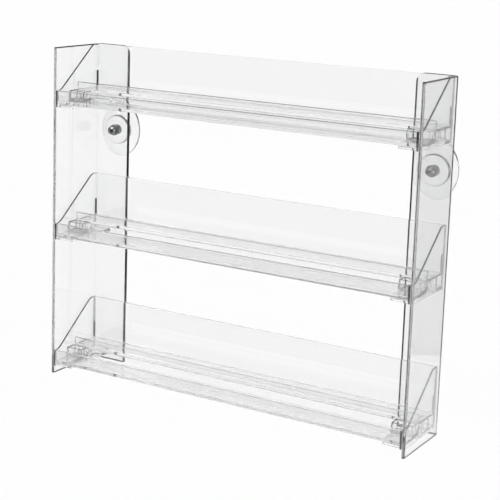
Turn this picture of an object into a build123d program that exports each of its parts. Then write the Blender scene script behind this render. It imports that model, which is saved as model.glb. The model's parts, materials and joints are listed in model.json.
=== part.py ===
"""Clear three-tier wall and table rack with two suction cups.

Millimetres, +Z up. X runs along the shelves and Y from the front to the back. The origin is on
the surface that the rack stands on, under the middle of its overall box.
"""
import os

from build123d import *

# Overall frame
RACK_WIDTH = 356.0
RACK_HEIGHT = 300.0
PANEL_DEPTH = 67.0
SHEET = 3.0                 # thickness of the side sheets and their back flanges
FLANGE_WIDTH = 36.0
BEND_RADIUS = 3.5           # outside of the bend between side sheet and flange
FLANGE_CORNER = 7.5         # rounded top inner corner of each flange

# Shelves
SHELF_BOTTOMS = {"top": 249.8, "middle": 129.5, "bottom": 10.5}
WALL = 2.0                  # trough floor, ridge and raised floor
LIP_THICKNESS = 2.4
LIP_HEIGHT = 12.0
RIDGE_FRONT = 28.6          # front face of the ridge, from the front of the rack
RIDGE_HEIGHT = 17.8
REAR_FLOOR = 11.0           # top of the raised rear floor, above the shelf's bottom
BACK_PLATE_FRONT = 58.4
BACK_PLATE_THICKNESS = 2.4
BACK_PLATE_HEIGHT = 50.2
EDGE_ROUND = 0.6
GATE_MARK_RADIUS = 1.0      # moulding mark in the middle of each back plate
GATE_MARK_DEPTH = 0.4
GATE_MARK_HEIGHT = 29.0

# End caps
CHEEK = 1.6
PANEL_GAP = 0.1             # bond line between a cheek and its side sheet
SHELF_GAP = 0.15            # push-fit clearance between end cap and shelf
CAP_REACH = 21.0            # how far a cap's base and tongue run in from the outer face
BASE_THICKNESS = 3.2
TONGUE_FRONT = 17.6         # hollow tongue that sits in the trough, against the ridge
TONGUE_TOP = 10.6
POST_FRONT = 35.6           # hollow post under the raised floor, behind the ridge
POST_BACK = 49.0
POST_REACH = 6.0
HOLLOW_WALL = 1.4
TONGUE_FLOOR = 1.0
RIB_FRONT = 57.0            # upright rib on the cheek that steadies the back plate
RIB_BACK = 58.1
RIB_BOTTOM = 11.6
RIB_TOP = 26.0
RIB_REACH = 1.2
CHEEK_FOOT_RADIUS = 9.0     # concave sweep from the lip height into the slope
CHEEK_TOP_RADIUS = 8.0      # convex corner where the slope meets the back plate

# Suction cups and their fixings
CUP_INSET = 20.0            # stud axis, in from the rack's outer face
CUP_HEIGHT = 221.0
CUP_HALF_WIDTH = 20.8
CUP_HALF_HEIGHT = 25.0
CUP_WALL = 1.6
CUP_DISH_DEPTH = 3.4
NECK_RADIUS = 13.3
NECK_LENGTH = 3.6
STUD_RADIUS = 2.5
STUD_HEAD_RADIUS = 4.6
STUD_HEAD_THICKNESS = 1.4
THREAD_CLEARANCE = 0.1
HOLE_RADIUS = 2.9
JAM_NUT_THICKNESS = 2.4
JAM_NUT_FLATS = 9.0
FACE_GAP = 0.15             # between each turning face and the flange
WASHER_RADIUS = 5.0
WASHER_THICKNESS = 0.8
CAP_NUT_FLATS = 8.0
CAP_NUT_BASE = 1.9
DOME_RADIUS = 4.1

# Worked out from the dimensions above
NECK_FRONT = PANEL_DEPTH + FACE_GAP + JAM_NUT_THICKNESS + FACE_GAP
CUP_BACK = NECK_FRONT + NECK_LENGTH + CUP_DISH_DEPTH
FRONT = -CUP_BACK / 2       # Y of the rack's front edges
HALF_WIDTH = RACK_WIDTH / 2
CHEEK_OUTER = HALF_WIDTH - SHEET - PANEL_GAP
CHEEK_INNER = CHEEK_OUTER - CHEEK
SHELF_END = CHEEK_INNER - SHELF_GAP
CAP_INNER = HALF_WIDTH - CAP_REACH
RIDGE_BACK = RIDGE_FRONT + WALL
BACK_PLATE_BACK = BACK_PLATE_FRONT + BACK_PLATE_THICKNESS


def block(x_range, y_range, z_range):
    """Box between two corners; Y is measured from the rack's front edges."""
    sizes = [high - low for low, high in (x_range, y_range, z_range)]
    corner = Pos(x_range[0], FRONT + y_range[0], z_range[0])
    return corner * Box(*sizes, align=(Align.MIN, Align.MIN, Align.MIN))


def across(face_outline, x_low, x_high):
    """Extrudes an outline of (depth, height) points along X."""
    outline = Polyline(*[(0, FRONT + depth, height) for depth, height in face_outline], close=True)
    return Pos(x_low, 0, 0) * extrude(make_face(outline), amount=x_high - x_low, dir=(1, 0, 0))


def along_y(sketch, y_low, y_high):
    """Extrudes an XY-plane sketch, whose Y stands for height, from one depth to another."""
    plane = Plane(origin=(0, FRONT + y_low, 0), x_dir=(1, 0, 0), z_dir=(0, -1, 0))
    return extrude(plane * sketch, amount=-(y_high - y_low))


def side_panel():
    """Right-hand side sheet with its back flange, bent from one sheet."""
    side = block((HALF_WIDTH - SHEET, HALF_WIDTH), (0, PANEL_DEPTH), (0, RACK_HEIGHT))
    flange = block((HALF_WIDTH - FLANGE_WIDTH, HALF_WIDTH),
                   (PANEL_DEPTH - SHEET, PANEL_DEPTH), (0, RACK_HEIGHT))
    panel = side + flange
    upright = panel.edges().filter_by(Axis.Z)
    outer_bend = upright.sort_by(lambda e: -(e.center().X + e.center().Y))[0]
    panel = fillet(outer_bend, BEND_RADIUS)
    inner_bend = [e for e in panel.edges().filter_by(Axis.Z)
                  if abs(e.center().X - (HALF_WIDTH - SHEET)) < 0.01
                  and abs(e.center().Y - (FRONT + PANEL_DEPTH - SHEET)) < 0.01]
    panel = fillet(inner_bend, BEND_RADIUS - SHEET + EDGE_ROUND)
    top_corner = [e for e in panel.edges().filter_by(Axis.Y)
                  if e.center().X < HALF_WIDTH - FLANGE_WIDTH + 0.01
                  and e.center().Z > RACK_HEIGHT - 0.01]
    panel = fillet(top_corner, FLANGE_CORNER)
    hole = Circle(HOLE_RADIUS)
    place = Pos(HALF_WIDTH - CUP_INSET, CUP_HEIGHT)
    return panel - along_y(place * hole, PANEL_DEPTH - SHEET - 1, PANEL_DEPTH + 1)


def shelf(bottom):
    """Lip, trough, ridge, raised rear floor and back plate as one profile along X."""
    under_floor = REAR_FLOOR - WALL
    outline = [
        (0, 0), (RIDGE_BACK, 0), (RIDGE_BACK, under_floor), (BACK_PLATE_FRONT, under_floor),
        (BACK_PLATE_FRONT, 0), (BACK_PLATE_BACK, 0), (BACK_PLATE_BACK, BACK_PLATE_HEIGHT),
        (BACK_PLATE_FRONT, BACK_PLATE_HEIGHT), (BACK_PLATE_FRONT, REAR_FLOOR),
        (RIDGE_BACK, REAR_FLOOR), (RIDGE_BACK, RIDGE_HEIGHT), (RIDGE_FRONT, RIDGE_HEIGHT),
        (RIDGE_FRONT, WALL), (LIP_THICKNESS, WALL), (LIP_THICKNESS, LIP_HEIGHT), (0, LIP_HEIGHT),
    ]
    body = across(outline, -SHELF_END, SHELF_END)
    rounded = [e for e in body.edges().filter_by(Axis.X)
               if e.center().Z > LIP_HEIGHT - 0.01 or e.center().Z < 0.01]
    body = fillet(rounded, EDGE_ROUND)
    mark = along_y(Pos(0, GATE_MARK_HEIGHT) * Circle(GATE_MARK_RADIUS),
                   BACK_PLATE_FRONT - 1, BACK_PLATE_FRONT + GATE_MARK_DEPTH)
    return Pos(0, 0, bottom) * (body - mark)


def cheek_face():
    """Cheek outline: lip height at the front, sweeping up to the back plate's top."""
    foot = (LIP_THICKNESS + 3.0, LIP_HEIGHT)
    top = (BACK_PLATE_BACK, BACK_PLATE_HEIGHT)
    shoulder = (BACK_PLATE_FRONT - 6.0, BACK_PLATE_HEIGHT)
    corners = [(0, -BASE_THICKNESS), (0, LIP_HEIGHT), foot, shoulder, top,
               (BACK_PLATE_BACK, -BASE_THICKNESS)]
    points = [(0, FRONT + depth, height) for depth, height in corners]
    radii = [EDGE_ROUND, EDGE_ROUND, CHEEK_FOOT_RADIUS, CHEEK_TOP_RADIUS, EDGE_ROUND, EDGE_ROUND]
    return make_face(FilletPolyline(*points, radius=radii, close=True))


def hollow_box(x_range, y_range, z_range, floor):
    """Upright box with an open top and a floor of a given thickness."""
    inner_x = (x_range[0] + HOLLOW_WALL, x_range[1] - HOLLOW_WALL)
    inner_y = (y_range[0] + HOLLOW_WALL, y_range[1] - HOLLOW_WALL)
    return block(x_range, y_range, z_range) - block(inner_x, inner_y, (z_range[0] + floor, z_range[1] + 1))


def end_cap(bottom):
    """Right-hand cap: cheek and rib, base under the shelf, tongue in the trough, rear post."""
    cap = Pos(CHEEK_INNER, 0, 0) * extrude(cheek_face(), amount=CHEEK, dir=(1, 0, 0))
    base_x = (CAP_INNER, CHEEK_INNER)
    cap += block(base_x, (LIP_THICKNESS, BACK_PLATE_BACK), (-BASE_THICKNESS, -SHELF_GAP))
    cap -= block((CAP_INNER + HOLLOW_WALL, CHEEK_INNER - HOLLOW_WALL),
                 (LIP_THICKNESS + HOLLOW_WALL, RIDGE_FRONT - HOLLOW_WALL),
                 (-BASE_THICKNESS - 1, -SHELF_GAP - HOLLOW_WALL))
    cap += hollow_box((CAP_INNER, CHEEK_INNER), (TONGUE_FRONT, RIDGE_FRONT - SHELF_GAP),
                      (WALL + SHELF_GAP, TONGUE_TOP), TONGUE_FLOOR)
    cap += hollow_box((CHEEK_INNER - POST_REACH, CHEEK_INNER), (POST_FRONT, POST_BACK),
                      (-SHELF_GAP, REAR_FLOOR - WALL - SHELF_GAP), 0)
    cap += block((CHEEK_INNER - RIB_REACH, CHEEK_INNER), (RIB_FRONT, RIB_BACK), (RIB_BOTTOM, RIB_TOP))
    return Pos(0, 0, bottom) * cap


def cup_place(sketch):
    return Pos(HALF_WIDTH - CUP_INSET, CUP_HEIGHT) * sketch


def oval_dish(inset, y_low, y_high, y_shift):
    """Widening oval between the neck and the rim, pulled in by the inset."""
    wide = Ellipse(CUP_HALF_WIDTH - inset, CUP_HALF_HEIGHT - inset)
    narrow = Ellipse(NECK_RADIUS - inset, NECK_RADIUS - inset)

    def at(sketch, depth):
        plane = Plane(origin=(0, FRONT + depth, 0), x_dir=(1, 0, 0), z_dir=(0, -1, 0))
        return plane * cup_place(sketch)
    return loft([at(narrow, y_low + y_shift), at(wide, y_high + y_shift)])


def suction_cup():
    """Flat oval cup with a round neck that holds the stud's head."""
    dish_start = NECK_FRONT + NECK_LENGTH - CUP_WALL
    cup = along_y(cup_place(Circle(NECK_RADIUS)), NECK_FRONT, dish_start + CUP_WALL)
    cup += oval_dish(0, dish_start, CUP_BACK - CUP_WALL, 0)
    cup += along_y(cup_place(Ellipse(CUP_HALF_WIDTH, CUP_HALF_HEIGHT)), CUP_BACK - CUP_WALL, CUP_BACK)
    cup -= oval_dish(CUP_WALL, dish_start + CUP_WALL, CUP_BACK, 0.01)
    head_start = NECK_FRONT + CUP_WALL / 2
    cup -= along_y(cup_place(Circle(STUD_HEAD_RADIUS)), head_start, head_start + STUD_HEAD_THICKNESS)
    return cup - along_y(cup_place(Circle(STUD_RADIUS)), NECK_FRONT - 1, head_start)


def stud():
    """Threaded stud whose round head is moulded into the cup's neck."""
    head_start = NECK_FRONT + CUP_WALL / 2
    tip = PANEL_DEPTH - SHEET - WASHER_THICKNESS - CAP_NUT_BASE - 1.2
    shank = along_y(cup_place(Circle(STUD_RADIUS)), tip, head_start)
    head = along_y(cup_place(Circle(STUD_HEAD_RADIUS)), head_start, head_start + STUD_HEAD_THICKNESS)
    return shank + head


def jam_nut():
    """Thin hexagon nut between the neck and the flange."""
    start = PANEL_DEPTH + FACE_GAP
    body = along_y(cup_place(RegularPolygon(JAM_NUT_FLATS / 2, 6, major_radius=False)),
                   start, start + JAM_NUT_THICKNESS)
    bore = along_y(cup_place(Circle(STUD_RADIUS + THREAD_CLEARANCE)), start - 1,
                   start + JAM_NUT_THICKNESS + 1)
    return body - bore


def washer():
    back = PANEL_DEPTH - SHEET
    ring = Circle(WASHER_RADIUS) - Circle(HOLE_RADIUS)
    return along_y(cup_place(ring), back - WASHER_THICKNESS, back)


def cap_nut():
    """Low domed nut in front of the flange."""
    seat = PANEL_DEPTH - SHEET - WASHER_THICKNESS - FACE_GAP
    base = along_y(cup_place(RegularPolygon(CAP_NUT_FLATS / 2, 6, major_radius=False)),
                   seat - CAP_NUT_BASE, seat)
    centre = Pos(HALF_WIDTH - CUP_INSET, FRONT + seat - CAP_NUT_BASE, CUP_HEIGHT)
    dome = centre * Sphere(DOME_RADIUS)
    dome -= block((HALF_WIDTH - 2 * CUP_INSET, HALF_WIDTH), (seat, seat + 2 * DOME_RADIUS),
                  (CUP_HEIGHT - CUP_INSET, CUP_HEIGHT + CUP_INSET))
    bore = along_y(cup_place(Circle(STUD_RADIUS + THREAD_CLEARANCE)), seat - CAP_NUT_BASE - 1.6, seat + 1)
    return base + dome - bore


def build():
    """Every separate piece of the rack by name; left pieces mirror the right ones."""
    pieces = {}
    sided = {"side_panel": side_panel(), "suction_cup": suction_cup(), "cup_stud": stud(),
             "jam_nut": jam_nut(), "washer": washer(), "cap_nut": cap_nut()}
    for tier, bottom in SHELF_BOTTOMS.items():
        pieces[f"{tier}_shelf"] = shelf(bottom)
        sided[f"{tier}_end_cap"] = end_cap(bottom)
    for name, right_piece in sided.items():
        pieces[f"right_{name}"] = right_piece
        pieces[f"left_{name}"] = mirror(right_piece, about=Plane.YZ)
    return pieces


os.makedirs("parts", exist_ok=True)
for name, shape in build().items():
    export_step(shape, f"parts/{name}.step")
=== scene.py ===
"""Clear three-tier rack: its looks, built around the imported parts.

Metres, +Z up. X runs along the shelves and Y from the front to the back. Sizes below are in
millimetres; depths are measured from the rack's front edges and heights from its foot.
"""
import json
import math

import bmesh
import bpy
from mathutils import Matrix, Vector

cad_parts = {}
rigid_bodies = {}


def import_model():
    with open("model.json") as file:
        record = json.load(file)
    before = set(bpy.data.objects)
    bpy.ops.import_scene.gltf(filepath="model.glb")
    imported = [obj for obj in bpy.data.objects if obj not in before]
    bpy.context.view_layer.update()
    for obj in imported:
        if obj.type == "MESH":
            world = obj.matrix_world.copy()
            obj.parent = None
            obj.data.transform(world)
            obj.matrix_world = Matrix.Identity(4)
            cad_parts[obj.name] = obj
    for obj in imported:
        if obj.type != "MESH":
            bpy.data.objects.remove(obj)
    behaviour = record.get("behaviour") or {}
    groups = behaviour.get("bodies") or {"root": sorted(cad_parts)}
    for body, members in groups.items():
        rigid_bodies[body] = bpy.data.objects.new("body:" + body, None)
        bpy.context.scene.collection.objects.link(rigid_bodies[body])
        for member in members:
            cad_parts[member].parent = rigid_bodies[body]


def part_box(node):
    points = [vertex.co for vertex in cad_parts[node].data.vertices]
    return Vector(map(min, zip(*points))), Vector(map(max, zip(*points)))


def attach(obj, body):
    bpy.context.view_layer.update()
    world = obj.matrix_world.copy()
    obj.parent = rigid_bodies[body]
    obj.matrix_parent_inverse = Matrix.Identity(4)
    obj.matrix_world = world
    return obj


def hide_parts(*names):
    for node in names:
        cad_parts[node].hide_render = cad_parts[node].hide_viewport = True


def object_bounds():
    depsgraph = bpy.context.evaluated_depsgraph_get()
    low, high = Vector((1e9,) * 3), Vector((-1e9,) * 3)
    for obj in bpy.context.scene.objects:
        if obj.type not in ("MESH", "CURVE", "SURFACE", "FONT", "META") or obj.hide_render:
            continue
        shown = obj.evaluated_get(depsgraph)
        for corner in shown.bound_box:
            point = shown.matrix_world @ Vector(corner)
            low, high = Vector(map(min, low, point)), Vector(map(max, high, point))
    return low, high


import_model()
cad_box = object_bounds()

MM = 0.001
CLOSE = 0.002 * MM          # points nearer than this are one point
FRONT = cad_box[0].y / MM   # where depths are measured from

# Side sheets, each bent from one flat sheet
SHEET = 3.0
BEND_RADIUS = 3.5           # outside of the bend
FLANGE_CORNER = 7.5
FRONT_CORNER = 1.2
HOLE_RADIUS = 2.9
HOLE_REACH = 5.0            # half the square that the hole's ring of faces fills
BEND_STEPS = 6
POLISHED_EDGE = 1.0         # rounding that flame polishing leaves on a sawn edge
PANEL_RIM = 1.2             # faces narrower than this are edge, and take the painted dark edge shade

# Shelves
WALL = 2.0
LIP_THICKNESS = 2.4
LIP_HEIGHT = 12.0
RIDGE_FRONT = 28.6
RIDGE_HEIGHT = 17.8
REAR_FLOOR = 11.0
BACK_PLATE_FRONT = 58.4
BACK_PLATE_BACK = 60.8
BACK_PLATE_HEIGHT = 50.2
OUTER_ROUND = 0.6
INNER_ROUND = 0.9
SHELF_END_ROUND = 0.2
SHELF_RIM = 0.36            # edge faces of a shelf, tinted darker as painted shade, are narrower than this
SHELF_RIM_DEPTH = 40.0      # and stand this near the front, clear of the shelf's underside
SHELF_RIM_BOTTOM = 0.5
GATE_MARK_RADIUS = 1.0
GATE_MARK_DEPTH = 0.4
GATE_MARK_HEIGHT = 29.0
GATE_MARK_REACH = 2.5

# End caps
CHEEK = 1.6
BASE_THICKNESS = 3.2
SHELF_GAP = 0.15
TONGUE_FRONT = 17.6
TONGUE_TOP = 10.6
TONGUE_FLOOR = 1.0          # left under the tongue's hollow
POST_FRONT = 35.6
POST_BACK = 49.0
POST_REACH = 6.0
POST_FLOOR = 0.1            # left under the post's hollow
HOLLOW_WALL = 1.4
RIB_FRONT = 57.0            # upright rib that steadies the back plate
RIB_BACK = 58.1
RIB_BOTTOM = 11.6
RIB_TOP = 26.0
RIB_REACH = 1.2
SWEEP_FOOT = 3.2            # length of edge that each sweep of the cheek's slope takes up
SWEEP_TOP = 2.8
SLOPE_FOOT = 3.0            # from the lip's back to the foot of the slope
SLOPE_TOP = 6.0             # from the top of the slope to the back plate's front
MOULDED_ROUND = 0.3
CAP_RIM = 1.7               # edge faces of a cap, tinted dark as painted shade, are narrower than this

# Suction cups and their fixings
CUP_HALF_WIDTH = 20.8
CUP_HALF_HEIGHT = 25.0
NECK_RADIUS = 13.3
NECK_EDGE = 12.4            # the painted darker edge shade starts this far from the axis
VINYL_RIM = 0.5             # edge faces of a cup, tinted darker as painted shade, are narrower than this
VINYL_GRIP = 0.05           # the vinyl reaches this far into the stud that it's moulded round
STUD_RADIUS = 2.5
STUD_HEAD_RADIUS = 4.6
STUD_HEAD = 1.4             # thickness of the stud's head
STUD_HEAD_INSET = 0.8       # vinyl in front of the head
BORE_RADIUS = 2.6
JAM_NUT_FLATS = 9.0
JAM_NUT_ROUND = 0.3
CAP_NUT_FLATS = 8.0
CAP_NUT_ROUND = 0.25
DOME_RADIUS = 4.1
THREAD_PITCH = 0.8
THREAD_DEPTH = 0.35

# Angles between faces, in degrees, past which an edge is sharp or square
SHARP = 50
SQUARE = 80

# Clear plastics
ACRYLIC_IOR = 1.49
VINYL_IOR = 1.50

# Brightness of the studio round the rack
FRONT_GLOW = 0.03
BACK_BAND = 0.95
BACK_HIGH = 0.3
BOUNCES = 40                # light passes through many clear walls

# Camera: where it stands, seen from a point inside the rack, and how it's turned, in degrees
TARGET_DEPTH = 33.5
STAND_AZIMUTH = 30.93
STAND_ELEVATION = 12.94
STAND_DISTANCE = 3.9135     # in rack heights
TURN_ASIDE = 30.60
TURN_DOWN = 10.41
TURN_OVER = 1.952
LENS = 98.54
LENS_SHIFT = -0.15


# --- working a mesh --------------------------------------------------------------------------

def at(x, depth, height):
    """Point from its X, its depth behind the front edges and its height, in millimetres."""
    return Vector((x * MM, cad_box[0].y + depth * MM, height * MM))


def plate(mesh, outline):
    """One flat face from its corner points; returns its corners."""
    corners = [mesh.verts.new(point) for point in outline]
    mesh.faces.new(corners)
    return corners


def round_corner(mesh, corner, reach, segments):
    bmesh.ops.bevel(mesh, geom=[corner], offset=reach * MM, offset_type="OFFSET",
                    affect="VERTICES", segments=segments, profile=0.5, material=-1)


def round_edges(mesh, edges, radius, segments):
    bmesh.ops.bevel(mesh, geom=edges, offset=radius * MM, offset_type="OFFSET",
                    affect="EDGES", segments=segments, profile=0.5, material=-1,
                    clamp_overlap=True)


def sharp_edges(mesh, degrees):
    """Edges where two faces meet at more than an angle."""
    return [edge for edge in mesh.edges
            if len(edge.link_faces) == 2 and edge.calc_face_angle() > math.radians(degrees)]


def pull(mesh, faces, offset):
    """Extrudes faces by an offset in millimetres; faces of a closed shape leave nothing behind."""
    closed = all(len(edge.link_faces) == 2 for face in faces for edge in face.edges)
    made = bmesh.ops.extrude_face_region(mesh, geom=faces)["geom"]
    verts = [item for item in made if isinstance(item, bmesh.types.BMVert)]
    bmesh.ops.translate(mesh, vec=Vector(offset) * MM, verts=verts)
    if closed:
        bmesh.ops.delete(mesh, geom=faces, context="FACES")


def faces_on(mesh, point, normal):
    """Faces that lie in a plane."""
    return [face for face in mesh.faces
            if abs(face.normal.dot(normal)) > 0.999
            and abs((face.calc_center_median() - point).dot(normal)) < 5 * CLOSE]


def faces_between(faces, low, high):
    """Those faces whose middles lie in a box."""
    def inside(face):
        middle = face.calc_center_median()
        return all(low[k] - CLOSE < middle[k] < high[k] + CLOSE for k in range(3))
    return [face for face in faces if inside(face)]


def cut(mesh, faces, point, normal):
    """Splits faces along a plane."""
    parts = set(faces)
    for face in faces:
        parts.update(face.edges)
        parts.update(face.verts)
    bmesh.ops.bisect_plane(mesh, geom=list(parts), plane_co=point, plane_no=normal, dist=CLOSE)


def square_cuts(mesh, centre, normal, reach):
    """Cuts a square about a point out of the flat faces there and returns the square."""
    across_axes = [Vector(axis) for axis in ((1, 0, 0), (0, 1, 0), (0, 0, 1))
                   if abs(Vector(axis).dot(normal)) < 0.5]
    for axis in across_axes:
        for side in (-1, 1):
            cut(mesh, faces_on(mesh, centre, normal), centre + axis * side * reach * MM, axis)
    return min(faces_on(mesh, centre, normal),
               key=lambda face: (face.calc_center_median() - centre).length)


def split_evenly(edges, pieces):
    """Divides each edge into equal pieces."""
    made = []
    for edge in edges:
        corner = edge.verts[0]
        for left in range(pieces, 1, -1):
            part, corner = bmesh.utils.edge_split(edge, corner, 1 / left)
            made.append(part)
        made.append(edge)
    return made


def turned_towards(normal):
    """Rotation that carries +Z to a direction."""
    return Vector((0, 0, 1)).rotation_difference(normal).to_matrix().to_4x4()


def ring_in_face(mesh, centre, normal, radius, reach, sides):
    """Opens a round hole in a flat face; returns the edges of its rim."""
    square = square_cuts(mesh, centre, normal, reach)
    border = list(square.edges)
    bmesh.ops.delete(mesh, geom=[square], context="FACES_ONLY")
    border = split_evenly(border, sides // 4)
    circle = bmesh.ops.create_circle(mesh, segments=sides, radius=radius * MM, cap_ends=False,
                                     matrix=Matrix.Translation(centre) @ turned_towards(normal))
    rim = list({edge for vertex in circle["verts"] for edge in vertex.link_edges})
    bmesh.ops.triangle_fill(mesh, use_beauty=True, edges=border + rim, normal=normal)
    return rim


def turned_shape(mesh, profile, centre, steps, closed=False):
    """Spins a profile of (radius, depth) points once about the axis that runs back from a point."""
    verts = [mesh.verts.new(at(0, depth, 0) + Vector((centre.x + radius * MM, 0, centre.z)))
             for radius, depth in profile]
    edges = [mesh.edges.new(pair) for pair in zip(verts, verts[1:])]
    if closed:
        edges.append(mesh.edges.new((verts[-1], verts[0])))
    bmesh.ops.spin(mesh, geom=verts + edges, cent=centre, axis=(0, 1, 0), angle=2 * math.pi,
                   steps=steps, use_merge=True)
    bmesh.ops.remove_doubles(mesh, verts=mesh.verts, dist=CLOSE)


def hexagon_ring(mesh, centre, flats, bore, low, high, rounding):
    """Hexagon with a round bore between two depths, its edges rounded."""
    across = Matrix.Translation(centre) @ turned_towards(Vector((0, 1, 0)))
    outer = bmesh.ops.create_circle(mesh, segments=6, radius=flats / math.sqrt(3) * MM,
                                    cap_ends=False, matrix=across)["verts"]
    sides = split_evenly(list({edge for vertex in outer for edge in vertex.link_edges}), 4)
    inner = bmesh.ops.create_circle(mesh, segments=24, radius=bore * MM,
                                    cap_ends=False, matrix=across)["verts"]
    rim = list({edge for vertex in inner for edge in vertex.link_edges})
    bmesh.ops.triangle_fill(mesh, use_beauty=True, edges=sides + rim, normal=(0, 1, 0))
    faces = list(mesh.faces)
    bmesh.ops.translate(mesh, verts=mesh.verts, vec=(0, at(0, low, 0).y - centre.y, 0))
    pull(mesh, faces, (0, high - low, 0))
    bmesh.ops.recalc_face_normals(mesh, faces=mesh.faces)
    round_edges(mesh, sharp_edges(mesh, SHARP), rounding, 2)


def add_object(name, data):
    made = bpy.data.objects.new(name, data)
    bpy.context.scene.collection.objects.link(made)
    return made


def finish_piece(name, mesh, material, body, slot, *nodes, mirrored=False, painted_shade_rims=None, narrow=0,
                 on_rim=None):
    """Turns a bmesh into a named piece that rides on a body and stands for its nodes.

    Faces narrower than narrow millimetres take the second material, a painted darker edge shade,
    where on_rim allows their middle.
    """
    bmesh.ops.remove_doubles(mesh, verts=mesh.verts, dist=CLOSE)
    for face in mesh.faces:
        face.smooth = True
        thin = 2 * face.calc_area() < narrow * MM * face.calc_perimeter()
        if painted_shade_rims and thin and (on_rim is None or on_rim(face.calc_center_median() / MM)):
            face.material_index = 1
    if mirrored:
        bmesh.ops.scale(mesh, vec=(-1, 1, 1), verts=mesh.verts)
    bmesh.ops.recalc_face_normals(mesh, faces=mesh.faces)
    data = bpy.data.meshes.new(name)
    mesh.to_mesh(data)
    mesh.free()
    data.materials.append(material)
    if painted_shade_rims:
        data.materials.append(painted_shade_rims)
    piece = add_object(name, data)
    shading = piece.modifiers.new("flat_faces", "WEIGHTED_NORMAL")
    shading.mode = "FACE_AREA"
    shading.weight = 100
    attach(piece, body)
    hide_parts(*nodes)


# --- shader groups -------------------------------------------------------------------------

def new_group(name, inputs, outputs):
    """Shader group with named float inputs (name, default) and outputs (name, kind)."""
    group = bpy.data.node_groups.new(name, "ShaderNodeTree")
    for label, default in inputs:
        socket = group.interface.new_socket(label, in_out="INPUT", socket_type="NodeSocketFloat")
        socket.default_value = default
    for label, kind in outputs:
        group.interface.new_socket(label, in_out="OUTPUT", socket_type=f"NodeSocket{kind}")
    return group, group.nodes.new("NodeGroupInput"), group.nodes.new("NodeGroupOutput")


def handling_marks_group():
    """Faint smudges and shallow ripples: a roughness and a height that vary over the surface."""
    group, given, made = new_group(
        "handling_marks",
        [("Roughness", 0.02), ("Smudge", 0.02), ("Scratch Depth", 0.2), ("Scale", 40.0)],
        [("Roughness", "Float"), ("Height", "Float")])
    nodes, links = group.nodes, group.links
    place = nodes.new("ShaderNodeTexCoord")
    smudge = nodes.new("ShaderNodeTexNoise")
    smudge.inputs["Detail"].default_value = 3.0
    links.new(place.outputs["Object"], smudge.inputs["Vector"])
    links.new(given.outputs["Scale"], smudge.inputs["Scale"])
    spread = nodes.new("ShaderNodeMapRange")
    spread.inputs["From Min"].default_value = 0.55
    spread.inputs["From Max"].default_value = 0.8
    links.new(smudge.outputs["Fac"], spread.inputs["Value"])
    patch = nodes.new("ShaderNodeMath")
    patch.operation = "MULTIPLY_ADD"
    links.new(spread.outputs["Result"], patch.inputs[0])
    links.new(given.outputs["Smudge"], patch.inputs[1])
    links.new(given.outputs["Roughness"], patch.inputs[2])
    links.new(patch.outputs["Value"], made.inputs["Roughness"])
    ripple = nodes.new("ShaderNodeTexNoise")
    ripple.inputs["Scale"].default_value = 14.0
    ripple.inputs["Detail"].default_value = 1.0
    links.new(place.outputs["Object"], ripple.inputs["Vector"])
    depth = nodes.new("ShaderNodeMath")
    depth.operation = "MULTIPLY"
    links.new(ripple.outputs["Fac"], depth.inputs[0])
    links.new(given.outputs["Scratch Depth"], depth.inputs[1])
    links.new(depth.outputs["Value"], made.inputs["Height"])
    return group


handling_marks = handling_marks_group()


# --- materials -----------------------------------------------------------------------------

def new_material(name):
    material = bpy.data.materials.new(name)
    material.use_nodes = True
    shader = material.node_tree.nodes["Principled BSDF"]
    return material, shader


def marked_surface(material, shader, roughness, smudge, depth, scale):
    """Adds handling marks to a material's roughness and normal."""
    nodes, links = material.node_tree.nodes, material.node_tree.links
    marks = nodes.new("ShaderNodeGroup")
    marks.node_tree = handling_marks
    for label, value in (("Roughness", roughness), ("Smudge", smudge),
                         ("Scratch Depth", depth), ("Scale", scale)):
        marks.inputs[label].default_value = value
    bump = nodes.new("ShaderNodeBump")
    bump.inputs["Distance"].default_value = 0.0002
    links.new(marks.outputs["Roughness"], shader.inputs["Roughness"])
    links.new(marks.outputs["Height"], bump.inputs["Height"])
    links.new(bump.outputs["Normal"], shader.inputs["Normal"])


def clear_plastic(name, colour, ior, roughness, smudge, depth, scale, absorption, sheen=0.5):
    material, shader = new_material(name)
    shader.inputs["Base Color"].default_value = (*colour, 1.0)
    shader.inputs["IOR"].default_value = ior
    shader.inputs["Transmission Weight"].default_value = 1.0
    shader.inputs["Specular IOR Level"].default_value = sheen
    marked_surface(material, shader, roughness, smudge, depth, scale)
    body = material.node_tree.nodes.new("ShaderNodeVolumeAbsorption")
    body.inputs["Color"].default_value = (0.0, 0.0, 0.0, 1.0)
    body.inputs["Density"].default_value = absorption
    output = material.node_tree.nodes["Material Output"]
    material.node_tree.links.new(body.outputs["Volume"], output.inputs["Volume"])
    return material


def bright_metal(name, colour, roughness, smudge):
    material, shader = new_material(name)
    shader.inputs["Base Color"].default_value = (*colour, 1.0)
    shader.inputs["Metallic"].default_value = 1.0
    marked_surface(material, shader, roughness, smudge, depth=0.3, scale=900.0)
    return material


panel_acrylic = clear_plastic("panel_acrylic", (0.945, 0.947, 0.948), ACRYLIC_IOR, roughness=0.0,
                              smudge=0.01, depth=0.05, scale=40.0, absorption=5.0)
# Painted shade: the sheets' narrow edge faces get a near-black tint and no surface reflection,
# drawing the dark lines that refraction of dark surroundings gives.
panel_rim_shade = clear_plastic("polished_sawn_edge", (0.015, 0.016, 0.017), ACRYLIC_IOR, roughness=0.0,
                          smudge=0.0, depth=0.0, scale=40.0, absorption=5.0, sheen=0.0)
shelf_acrylic = clear_plastic("shelf_acrylic", (0.955, 0.957, 0.958), ACRYLIC_IOR, roughness=0.0,
                              smudge=0.015, depth=0.1, scale=60.0, absorption=1.5)
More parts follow.
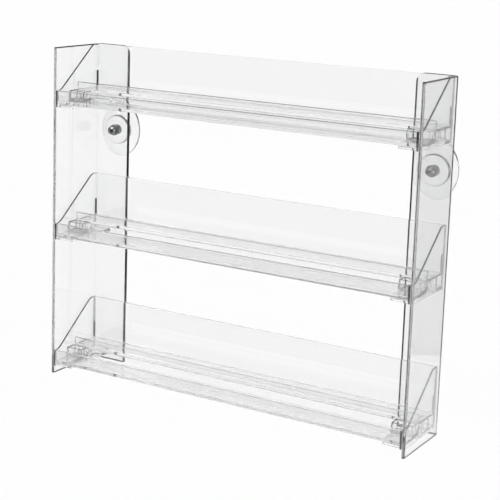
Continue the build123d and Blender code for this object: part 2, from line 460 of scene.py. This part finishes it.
# Painted shade: the shelves' narrow front edge faces get a darker tint, drawing dark edge lines.
shelf_rim_shade = clear_plastic("moulded_shelf_edge", (0.7, 0.705, 0.71), ACRYLIC_IOR, roughness=0.0,
                          smudge=0.0, depth=0.0, scale=60.0, absorption=1.5)
cap_acrylic = clear_plastic("end_cap_acrylic", (0.985, 0.987, 0.988), ACRYLIC_IOR, roughness=0.0,
                            smudge=0.015, depth=0.1, scale=90.0, absorption=3.0)
# Painted shade: the caps' narrow edge faces get a near-black tint, drawing dark outline lines.
cap_rim_shade = clear_plastic("moulded_cap_edge", (0.08, 0.082, 0.084), ACRYLIC_IOR, roughness=0.0,
                        smudge=0.0, depth=0.0, scale=90.0, absorption=3.0)
soft_vinyl = clear_plastic("soft_clear_vinyl", (0.98, 0.983, 0.987), VINYL_IOR, roughness=0.02,
                           smudge=0.03, depth=0.3, scale=120.0, absorption=6.0)
# Painted shade: the cup's narrow edge faces out by the lip get a darker tint, drawing dark rings.
vinyl_rim_shade = clear_plastic("moulded_vinyl_edge", (0.7, 0.71, 0.72), VINYL_IOR, roughness=0.02,
                          smudge=0.0, depth=0.0, scale=120.0, absorption=6.0)
chrome = bright_metal("polished_cap_nut", (0.24, 0.24, 0.245), roughness=0.04, smudge=0.05)
steel = bright_metal("bright_steel", (0.3, 0.3, 0.31), roughness=0.16, smudge=0.12)


# --- side sheets -----------------------------------------------------------------------------

def bend_sheet(mesh, outer_x, start):
    """Rolls what lies behind a depth round the sheet's inner bend, towards the middle."""
    centre = at(outer_x - BEND_RADIUS, start, 0)
    middle = (BEND_RADIUS - SHEET / 2) * MM
    quarter = middle * math.pi / 2
    for vertex in mesh.verts:
        past = vertex.co.y - centre.y
        if past <= CLOSE:
            continue
        reach = vertex.co.x - centre.x
        turn = min(past, quarter) / middle
        straight = max(past - quarter, 0)
        vertex.co.x = centre.x + reach * math.cos(turn) - straight
        vertex.co.y = centre.y + reach * math.sin(turn)


def side_sheet(side, mirrored):
    """Sawn outline with the cup's hole, thickened, bent into side and flange, then polished."""
    low, high = (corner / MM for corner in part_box("right_side_panel"))
    depth, height, flange = (high.y - low.y), high.z, high.x - low.x
    cup_low, cup_high = (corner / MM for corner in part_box("right_cup_stud"))
    hole_height = (cup_low.z + cup_high.z) / 2
    hole_inset = high.x - (cup_low.x + cup_high.x) / 2
    bend_start = depth - BEND_RADIUS
    bend_length = (BEND_RADIUS - SHEET / 2) * math.pi / 2
    flat_depth = bend_start + bend_length + flange - BEND_RADIUS

    mesh = bmesh.new()
    inner_x = high.x - SHEET
    outline = [at(inner_x, 0, 0), at(inner_x, flat_depth, 0), at(inner_x, flat_depth, height),
               at(inner_x, 0, height)]
    corners = plate(mesh, outline)
    round_corner(mesh, corners[2], FLANGE_CORNER, 10)
    round_corner(mesh, corners[3], FRONT_CORNER, 4)
    round_corner(mesh, corners[0], FRONT_CORNER, 4)
    mesh.normal_update()
    hole = at(inner_x, flat_depth - (flange - hole_inset), hole_height)
    ring_in_face(mesh, hole, Vector((1, 0, 0)), HOLE_RADIUS, HOLE_REACH, 32)
    for step in range(BEND_STEPS + 1):
        cut(mesh, mesh.faces, at(0, bend_start + bend_length * step / BEND_STEPS, 0),
            Vector((0, 1, 0)))
    pull(mesh, list(mesh.faces), (SHEET, 0, 0))
    bmesh.ops.recalc_face_normals(mesh, faces=mesh.faces)
    bend_sheet(mesh, high.x, bend_start)
    mesh.normal_update()
    round_edges(mesh, sharp_edges(mesh, SHARP), POLISHED_EDGE, 3)
    finish_piece(f"{side}_bent_sheet", mesh, panel_acrylic, "rack", "panel_acrylic",
                 f"{side}_side_panel", mirrored=mirrored, painted_shade_rims=panel_rim_shade, narrow=PANEL_RIM,
                 on_rim=lambda middle: middle.x < low.x + POLISHED_EDGE
                 or not POLISHED_EDGE < middle.z < height - POLISHED_EDGE)


# --- shelves ---------------------------------------------------------------------------------

def shelf_tray(tier):
    """Lip, trough, ridge, raised floor and back plate drawn as one section, then run along X."""
    low, high = (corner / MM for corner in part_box(f"{tier}_shelf"))
    bottom, front = low.z, low.y
    under_floor = REAR_FLOOR - WALL
    ridge_back = RIDGE_FRONT + WALL
    section = [
        (0, 0, OUTER_ROUND), (ridge_back, 0, OUTER_ROUND), (ridge_back, under_floor, INNER_ROUND),
        (BACK_PLATE_FRONT, under_floor, INNER_ROUND), (BACK_PLATE_FRONT, 0, OUTER_ROUND),
        (BACK_PLATE_BACK, 0, OUTER_ROUND), (BACK_PLATE_BACK, BACK_PLATE_HEIGHT, OUTER_ROUND),
        (BACK_PLATE_FRONT, BACK_PLATE_HEIGHT, OUTER_ROUND),
        (BACK_PLATE_FRONT, REAR_FLOOR, INNER_ROUND), (ridge_back, REAR_FLOOR, INNER_ROUND),
        (ridge_back, RIDGE_HEIGHT, OUTER_ROUND), (RIDGE_FRONT, RIDGE_HEIGHT, OUTER_ROUND),
        (RIDGE_FRONT, WALL, INNER_ROUND), (LIP_THICKNESS, WALL, INNER_ROUND),
        (LIP_THICKNESS, LIP_HEIGHT, OUTER_ROUND), (0, LIP_HEIGHT, OUTER_ROUND),
    ]
    mesh = bmesh.new()
    corners = plate(mesh, [at(low.x, depth, bottom + height) for depth, height, _ in section])
    for corner, (_, _, rounding) in zip(corners, section):
        round_corner(mesh, corner, rounding, 3)
    mesh.normal_update()
    pull(mesh, list(mesh.faces), (high.x - low.x, 0, 0))
    bmesh.ops.recalc_face_normals(mesh, faces=mesh.faces)
    rim = ring_in_face(mesh, at(0, BACK_PLATE_FRONT, bottom + GATE_MARK_HEIGHT),
                       Vector((0, -1, 0)), GATE_MARK_RADIUS, GATE_MARK_REACH, 16)
    sunk = bmesh.ops.extrude_edge_only(mesh, edges=rim)["geom"]
    sunk_verts = [item for item in sunk if isinstance(item, bmesh.types.BMVert)]
    sunk_edges = [item for item in sunk if isinstance(item, bmesh.types.BMEdge)]
    bmesh.ops.translate(mesh, vec=(0, GATE_MARK_DEPTH * MM, 0), verts=sunk_verts)
    bmesh.ops.holes_fill(mesh, edges=sunk_edges)
    bmesh.ops.recalc_face_normals(mesh, faces=mesh.faces)
    ends = [edge for edge in sharp_edges(mesh, SQUARE)
            if any(abs(face.normal.x) > 0.99 for face in edge.link_faces)]
    round_edges(mesh, ends, SHELF_END_ROUND, 1)
    finish_piece(f"{tier}_moulded_shelf", mesh, shelf_acrylic, "rack", "shelf_acrylic",
                 f"{tier}_shelf", painted_shade_rims=shelf_rim_shade, narrow=SHELF_RIM,
                 on_rim=lambda middle: middle.y < front + SHELF_RIM_DEPTH
                 and bottom + SHELF_RIM_BOTTOM < middle.z)


# --- end caps --------------------------------------------------------------------------------

def pads(mesh, inner_x, rectangles):
    """Marks out rectangles of (depths, heights) on the cheek's inner face."""
    point, normal = at(inner_x, 0, 0), Vector((1, 0, 0))
    for depths, heights in rectangles:
        for depth in depths:
            cut(mesh, faces_on(mesh, point, normal), at(0, depth, 0), Vector((0, 1, 0)))
        for height in heights:
            cut(mesh, faces_on(mesh, point, normal), at(0, 0, height), Vector((0, 0, 1)))
    found = []
    for depths, heights in rectangles:
        found += faces_between(faces_on(mesh, point, normal), at(inner_x, depths[0], heights[0]),
                               at(inner_x, depths[1], heights[1]))
    return found


def pocket(mesh, height, depths, x_range, wall, sink):
    """Hollows a raised pad from one of its level faces, leaving a wall all round."""
    level = faces_on(mesh, at(0, 0, height), Vector((0, 0, 1)))
    faces = faces_between(level, at(x_range[0], depths[0], height),
                          at(x_range[1], depths[1], height))
    if len(faces) > 1:
        faces = bmesh.ops.dissolve_faces(mesh, faces=faces)["region"]
    bmesh.ops.inset_region(mesh, faces=faces, thickness=wall * MM, use_even_offset=True)
    pull(mesh, faces, (0, 0, sink))
    mesh.normal_update()


def end_cap(side, tier, mirrored):
    """Cheek with its swept slope, base under the shelf, tongue in the trough and rear post."""
    low, high = (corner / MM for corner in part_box(f"right_{tier}_end_cap"))
    bottom = low.z + BASE_THICKNESS
    cheek_inner = high.x - CHEEK
    reach = cheek_inner - low.x
    depth = high.y - low.y
    outline = [(0, -BASE_THICKNESS, OUTER_ROUND), (0, LIP_HEIGHT, OUTER_ROUND),
               (LIP_THICKNESS + SLOPE_FOOT, LIP_HEIGHT, SWEEP_FOOT),
               (BACK_PLATE_FRONT - SLOPE_TOP, BACK_PLATE_HEIGHT, SWEEP_TOP),
               (depth, BACK_PLATE_HEIGHT, OUTER_ROUND), (depth, -BASE_THICKNESS, OUTER_ROUND)]
    mesh = bmesh.new()
    corners = plate(mesh, [at(high.x, along, bottom + up) for along, up, _ in outline])
    for corner, (_, _, rounding) in zip(corners, outline):
        round_corner(mesh, corner, rounding, 8 if rounding > 1 else 2)
    mesh.normal_update()
    pull(mesh, list(mesh.faces), (-CHEEK, 0, 0))
    bmesh.ops.recalc_face_normals(mesh, faces=mesh.faces)
    base = ((LIP_THICKNESS, depth - OUTER_ROUND),
            (bottom - BASE_THICKNESS, bottom - SHELF_GAP))
    post = ((POST_FRONT, POST_BACK),
            (bottom - SHELF_GAP, bottom + REAR_FLOOR - WALL - SHELF_GAP))
    tongue = ((TONGUE_FRONT, RIDGE_FRONT - SHELF_GAP),
              (bottom + WALL + SHELF_GAP, bottom + TONGUE_TOP))
    rib = ((RIB_FRONT, RIB_BACK), (bottom + RIB_BOTTOM, bottom + RIB_TOP))
    pull(mesh, pads(mesh, cheek_inner, [base, post]), (-POST_REACH, 0, 0))
    mesh.normal_update()
    pull(mesh, pads(mesh, cheek_inner - POST_REACH, [base]), (POST_REACH - reach, 0, 0))
    mesh.normal_update()
    pull(mesh, pads(mesh, cheek_inner, [tongue]), (-reach, 0, 0))
    mesh.normal_update()
    pull(mesh, pads(mesh, cheek_inner, [rib]), (-RIB_REACH, 0, 0))
    mesh.normal_update()
    pocket(mesh, bottom + TONGUE_TOP, (TONGUE_FRONT, RIDGE_FRONT), (low.x, cheek_inner),
           HOLLOW_WALL, -(TONGUE_TOP - WALL - SHELF_GAP - TONGUE_FLOOR))
    pocket(mesh, bottom + REAR_FLOOR - WALL - SHELF_GAP, (POST_FRONT, POST_BACK),
           (cheek_inner - POST_REACH, cheek_inner), HOLLOW_WALL,
           -(REAR_FLOOR - WALL - POST_FLOOR))
    under = bottom - BASE_THICKNESS
    cut(mesh, faces_on(mesh, at(0, 0, under), Vector((0, 0, 1))), at(0, RIDGE_FRONT, 0),
        Vector((0, 1, 0)))
    cut(mesh, faces_on(mesh, at(0, 0, under), Vector((0, 0, 1))), at(cheek_inner, 0, 0),
        Vector((1, 0, 0)))
    pocket(mesh, under, (LIP_THICKNESS, RIDGE_FRONT), (low.x, cheek_inner), HOLLOW_WALL,
           BASE_THICKNESS - SHELF_GAP - HOLLOW_WALL)
    bmesh.ops.dissolve_limit(mesh, angle_limit=math.radians(1), use_dissolve_boundaries=False,
                             verts=mesh.verts, edges=mesh.edges, delimit=set())
    round_edges(mesh, sharp_edges(mesh, SHARP), MOULDED_ROUND, 2)
    finish_piece(f"{side}_{tier}_moulded_cap", mesh, cap_acrylic, "rack", "end_cap_acrylic",
                 f"{side}_{tier}_end_cap", mirrored=mirrored, painted_shade_rims=cap_rim_shade, narrow=CAP_RIM,
                 on_rim=lambda middle: middle.y < low.y + RIB_BACK and middle.z > bottom)


# --- suction cups and their fixings ------------------------------------------------------------

def cup_axis():
    """Point on the right-hand stud's axis."""
    low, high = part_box("right_cup_stud")
    return (low + high) / 2


def suction_cup(side, mirrored):
    """Round neck and thin dish, widening to an oval lip."""
    low, high = (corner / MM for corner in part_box("right_suction_cup"))
    front, back = low.y - FRONT, high.y - FRONT
    head = front + STUD_HEAD_INSET
    profile = [
        (0, head + STUD_HEAD), (STUD_HEAD_RADIUS - VINYL_GRIP, head + STUD_HEAD),
        (STUD_HEAD_RADIUS - VINYL_GRIP, head), (STUD_RADIUS - VINYL_GRIP, head),
        (STUD_RADIUS - VINYL_GRIP, front), (8.6, front), (9.0, front + 0.25),
        (9.8, front + 0.25), (10.2, front), (12.6, front), (13.1, front + 0.2),
        (NECK_RADIUS, front + 0.7), (NECK_RADIUS, front + 1.9), (13.6, front + 2.4),
        (15.5, front + 3.1), (19.0, front + 4.0), (22.5, front + 4.9), (24.2, front + 5.5),
        (24.8, front + 5.9), (CUP_HALF_HEIGHT, back - 0.6), (24.8, back - 0.15), (24.2, back),
        (23.2, back - 0.3), (19.0, back - 1.6), (15.0, back - 2.5), (11.0, back - 3.2),
        (5.0, back - 3.4), (0, back - 3.4)]
    axis = cup_axis()

    def from_axis(point):
        return math.hypot(point.x - axis.x / MM, point.z - axis.z / MM)

    mesh = bmesh.new()
    turned_shape(mesh, profile, axis, 64)
    narrowing = 1 - CUP_HALF_WIDTH / CUP_HALF_HEIGHT
    for vertex in mesh.verts:
        radius = math.hypot(vertex.co.x - axis.x, vertex.co.z - axis.z) / MM
        share = max(radius - NECK_RADIUS, 0) / (CUP_HALF_HEIGHT - NECK_RADIUS)
        vertex.co.x = axis.x + (vertex.co.x - axis.x) * (1 - narrowing * share)
    finish_piece(f"{side}_oval_cup", mesh, soft_vinyl, f"{side}_cup", "soft_clear_vinyl",
                 f"{side}_suction_cup", mirrored=mirrored, painted_shade_rims=vinyl_rim_shade, narrow=VINYL_RIM,
                 on_rim=lambda middle: from_axis(middle) > NECK_EDGE)


def cup_stud(side, mirrored):
    """Rolled thread with a chamfered tip and a flat round head."""
    low, high = (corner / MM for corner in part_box("right_cup_stud"))
    tip, back = low.y - FRONT, high.y - FRONT
    head = back - STUD_HEAD
    profile = [(0, tip), (STUD_RADIUS - 0.5, tip), (STUD_RADIUS - THREAD_DEPTH, tip + 0.2)]
    turn = tip + 0.4
    while turn + THREAD_PITCH < head - 1.0:
        profile += [(STUD_RADIUS - THREAD_DEPTH, turn), (STUD_RADIUS, turn + 0.35 * THREAD_PITCH),
                    (STUD_RADIUS, turn + 0.5 * THREAD_PITCH),
                    (STUD_RADIUS - THREAD_DEPTH, turn + 0.85 * THREAD_PITCH)]
        turn += THREAD_PITCH
    profile += [(STUD_RADIUS, turn + 0.3), (STUD_RADIUS, head), (STUD_HEAD_RADIUS - 0.2, head),
                (STUD_HEAD_RADIUS, head + 0.2), (STUD_HEAD_RADIUS, back - 0.2),
                (STUD_HEAD_RADIUS - 0.2, back), (0, back)]
    mesh = bmesh.new()
    turned_shape(mesh, profile, cup_axis(), 32)
    finish_piece(f"{side}_threaded_stud", mesh, steel, f"{side}_cup", "bright_steel",
                 f"{side}_cup_stud", mirrored=mirrored)


def jam_nut(side, mirrored):
    """Thin hexagon nut."""
    low, high = (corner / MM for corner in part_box("right_jam_nut"))
    mesh = bmesh.new()
    hexagon_ring(mesh, cup_axis(), JAM_NUT_FLATS, BORE_RADIUS, low.y - FRONT, high.y - FRONT,
                 JAM_NUT_ROUND)
    finish_piece(f"{side}_thin_nut", mesh, steel, f"{side}_jam_nut", "bright_steel",
                 f"{side}_jam_nut", mirrored=mirrored)


def washer(side, mirrored):
    """Punched ring, more rounded on its front edge."""
    low, high = (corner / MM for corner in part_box("right_washer"))
    near, far = low.y - FRONT, high.y - FRONT
    outer = (high.z - low.z) / 2
    mesh = bmesh.new()
    turned_shape(mesh, [(HOLE_RADIUS, near), (outer - 0.25, near), (outer, near + 0.2),
                        (outer, far - 0.1), (outer - 0.1, far), (HOLE_RADIUS, far)],
                 cup_axis(), 40, closed=True)
    finish_piece(f"{side}_flat_washer", mesh, steel, "rack", "bright_steel",
                 f"{side}_washer", mirrored=mirrored)


def cap_nut(side, mirrored):
    """Hexagon base, a small shoulder and a closed dome."""
    low, high = (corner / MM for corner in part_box("right_cap_nut"))
    tip, seat = low.y - FRONT, high.y - FRONT
    base = tip + DOME_RADIUS
    mesh = bmesh.new()
    hexagon_ring(mesh, cup_axis(), CAP_NUT_FLATS, BORE_RADIUS, base, seat, CAP_NUT_ROUND)
    dome = [(DOME_RADIUS * math.sin(math.radians(angle)),
             base - DOME_RADIUS * math.cos(math.radians(angle))) for angle in range(0, 81, 8)]
    dome_mesh = bmesh.new()
    turned_shape(dome_mesh, dome + [(DOME_RADIUS - 0.1, base + 0.1), (BORE_RADIUS, base + 0.1),
                                    (BORE_RADIUS, base - 1.6), (0, base - 1.6)], cup_axis(), 40)
    shell = bpy.data.meshes.new("dome")
    dome_mesh.to_mesh(shell)
    dome_mesh.free()
    mesh.from_mesh(shell)
    bpy.data.meshes.remove(shell)
    finish_piece(f"{side}_domed_nut", mesh, chrome, f"{side}_cap_nut", "polished_cap_nut",
                 f"{side}_cap_nut", mirrored=mirrored)


# --- floor, light and camera -----------------------------------------------------------------

def floor():
    """Pale sheet just under the rack's foot, left out of reflections."""
    mesh = bmesh.new()
    bmesh.ops.create_grid(mesh, x_segments=1, y_segments=1, size=15.0)
    data = bpy.data.meshes.new("floor")
    mesh.to_mesh(data)
    mesh.free()
    sheet = add_object("floor", data)
    sheet.location.z = -0.0002
    material, shader = new_material("pale_floor")
    shader.inputs["Base Color"].default_value = (0.82, 0.82, 0.82, 1.0)
    shader.inputs["Roughness"].default_value = 0.9
    shader.inputs["Specular IOR Level"].default_value = 0.0
    data.materials.append(material)
    sheet.visible_glossy = False


def studio_world():
    """Dark where the camera stands, grey overhead, and a bright band low down behind the rack."""
    world = bpy.data.worlds.new("studio")
    bpy.context.scene.world = world
    world.use_nodes = True
    nodes, links = world.node_tree.nodes, world.node_tree.links
    place = nodes.new("ShaderNodeTexCoord")
    parts = nodes.new("ShaderNodeSeparateXYZ")
    links.new(place.outputs["Generated"], parts.inputs["Vector"])

    def ramp(source, start, end, low, high):
        step = nodes.new("ShaderNodeMapRange")
        for label, value in (("From Min", start), ("From Max", end),
                             ("To Min", low), ("To Max", high)):
            step.inputs[label].default_value = value
        links.new(source, step.inputs["Value"])
        return step.outputs["Result"]

    band = ramp(parts.outputs["Z"], 0.3, 0.6, BACK_BAND, BACK_HIGH)
    shade = nodes.new("ShaderNodeMath")
    shade.operation = "MULTIPLY"
    links.new(ramp(parts.outputs["Y"], -0.6, 0.3, 0.0, 1.0), shade.inputs[0])
    links.new(band, shade.inputs[1])
    lift = nodes.new("ShaderNodeMath")
    lift.operation = "ADD"
    lift.inputs[1].default_value = FRONT_GLOW
    links.new(shade.outputs["Value"], lift.inputs[0])
    links.new(lift.outputs["Value"], nodes["Background"].inputs["Color"])


def dark_card():
    """Upright grey card to the right, which only shows as a reflection in the sheets and nuts."""
    mesh = bmesh.new()
    bmesh.ops.create_grid(mesh, x_segments=1, y_segments=1, size=0.2)
    for degrees, axis in ((90, "X"), (-31, "Z")):
        bmesh.ops.rotate(mesh, cent=(0, 0, 0), verts=mesh.verts,
                         matrix=Matrix.Rotation(math.radians(degrees), 3, axis))
    bmesh.ops.translate(mesh, verts=mesh.verts, vec=(0.32, 0.23, 0.19))
    data = bpy.data.meshes.new("dark_card")
    mesh.to_mesh(data)
    mesh.free()
    card = add_object("dark_card", data)
    material, shader = new_material("dark_card")
    shader.inputs["Base Color"].default_value = (0.5, 0.5, 0.5, 1.0)
    shader.inputs["Specular IOR Level"].default_value = 0.0
    data.materials.append(material)
    card.visible_camera = card.visible_diffuse = card.visible_transmission = False
    card.visible_shadow = False


def sun(name, azimuth, elevation, spread, strength):
    """Distant lamp; its angles are in degrees."""
    data = bpy.data.lights.new(name, "SUN")
    data.energy = strength
    data.angle = math.radians(spread)
    light = add_object(name, data)
    light.rotation_euler = (math.radians(90 - elevation), 0, math.radians(azimuth))


def softbox(name, place, size, power):
    """Small square lamp that faces the rack's foot; it adds reflections but no diffuse light."""
    data = bpy.data.lights.new(name, "AREA")
    data.energy = power
    data.size = size
    light = add_object(name, data)
    light.location = place
    light.rotation_euler = (-Vector(place)).to_track_quat("-Z", "Y").to_euler()
    light.visible_camera = light.visible_diffuse = False


def camera():
    low, high = cad_box
    height = high.z - low.z
    target = Vector((0, low.y + TARGET_DEPTH * MM, height / 2))
    azimuth, elevation = math.radians(STAND_AZIMUTH), math.radians(STAND_ELEVATION)
    back = Vector((math.sin(azimuth) * math.cos(elevation),
                   -math.cos(azimuth) * math.cos(elevation), math.sin(elevation)))
    data = bpy.data.cameras.new("camera")
    data.lens = LENS
    data.shift_y = LENS_SHIFT
    data.clip_start = 0.01
    data.clip_end = 100.0
    eye = add_object("camera", data)
    turn = (Matrix.Rotation(math.radians(TURN_ASIDE), 4, "Z")
            @ Matrix.Rotation(math.radians(90 - TURN_DOWN), 4, "X")
            @ Matrix.Rotation(math.radians(TURN_OVER), 4, "Z"))
    eye.matrix_world = Matrix.Translation(target + back * height * STAND_DISTANCE) @ turn
    bpy.context.scene.camera = eye


for side, mirrored in (("left", True), ("right", False)):
    side_sheet(side, mirrored)
    suction_cup(side, mirrored)
    cup_stud(side, mirrored)
    jam_nut(side, mirrored)
    washer(side, mirrored)
    cap_nut(side, mirrored)
    for tier in ("top", "middle", "bottom"):
        end_cap(side, tier, mirrored)
for tier in ("top", "middle", "bottom"):
    shelf_tray(tier)

floor()
studio_world()
dark_card()
softbox("left_softbox", place=(-0.9, -0.93, 0.62), size=0.25, power=1.2)
softbox("right_softbox", place=(1.04, 0.22, 0.34), size=0.35, power=8.0)
sun("overhead_soft", azimuth=20.0, elevation=65.0, spread=40.0, strength=3.2)
camera()

scene = bpy.context.scene
scene.view_settings.view_transform = "Standard"
scene.cycles.max_bounces = BOUNCES
scene.cycles.transmission_bounces = BOUNCES
scene.cycles.glossy_bounces = BOUNCES
scene.cycles.transparent_max_bounces = BOUNCES
scene.cycles.use_denoising = True
opaque = ("nut", "stud", "washer", "floor")
for piece in scene.objects:
    if piece.type == "MESH" and not any(word in piece.name for word in opaque):
        piece.visible_shadow = piece.visible_diffuse = False
